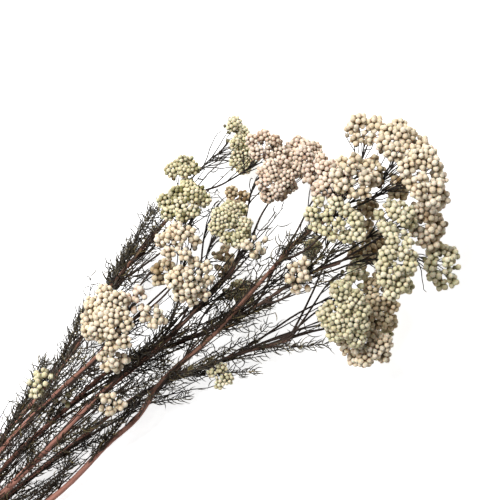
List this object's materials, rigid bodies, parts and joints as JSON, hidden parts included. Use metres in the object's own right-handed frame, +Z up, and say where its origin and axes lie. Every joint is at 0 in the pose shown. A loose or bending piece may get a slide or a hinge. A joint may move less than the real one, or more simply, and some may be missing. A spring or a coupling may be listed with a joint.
{
  "type": "dried rice flower",
  "caption": "Loose bunch of dried rice flower lying flat: woody cut stems fork into needle-leaved shoots and domed heads of small round buds in cream, dusty pink, green and tan.",
  "frame": {"origin": "on the table under the middle of the bounding box", "axes": "+X along the bunch from its cut stem ends to its flower heads, +Y to its left as it lies, +Z up from the table"},
  "size_m": [0.4206, 0.1794, 0.0895],
  "materials": {
    "stem_wood": "dry woody stems and needle leaves, reddish brown at the cut ends and nearly black higher up, matt",
    "buds_cream": "papery dried buds, cream, matt",
    "buds_pink": "papery dried buds, dusty pink to cream, matt",
    "buds_green": "papery dried buds, pale yellow-green, matt",
    "buds_tan": "papery dried buds, tan to olive brown, matt"
  },
  "bodies": {
    "root": {"stem_1": "stem_wood", "stem_2": "stem_wood", "stem_3": "stem_wood", "stem_4": "stem_wood", "stem_5": "stem_wood", "stem_6": "stem_wood", "head_01": "buds_green", "head_02": "buds_cream", "head_03": "buds_cream", "head_04": "buds_pink", "head_05": "buds_cream", "head_06": "buds_cream", "head_07": "buds_cream", "head_08": "buds_tan", "head_09": "buds_green", "head_10": "buds_green", "head_11": "buds_green", "head_12": "buds_tan", "head_13": "buds_cream", "head_14": "buds_tan", "head_15": "buds_green", "head_16": "buds_cream", "head_17": "buds_green", "head_18": "buds_pink", "head_19": "buds_pink", "head_20": "buds_pink", "head_21": "buds_pink", "head_22": "buds_cream", "head_23": "buds_cream", "head_24": "buds_cream", "head_25": "buds_cream", "head_26": "buds_green", "head_27": "buds_cream", "head_28": "buds_green", "head_29": "buds_green", "head_30": "buds_green", "head_31": "buds_tan", "head_32": "buds_green", "head_33": "buds_cream", "head_34": "buds_tan", "head_35": "buds_green", "head_36": "buds_green", "head_37": "buds_green", "head_38": "buds_cream", "head_39": "buds_green", "head_40": "buds_tan", "head_41": "buds_tan", "head_42": "buds_green", "head_43": "buds_tan"}
  },
  "joints": []
}
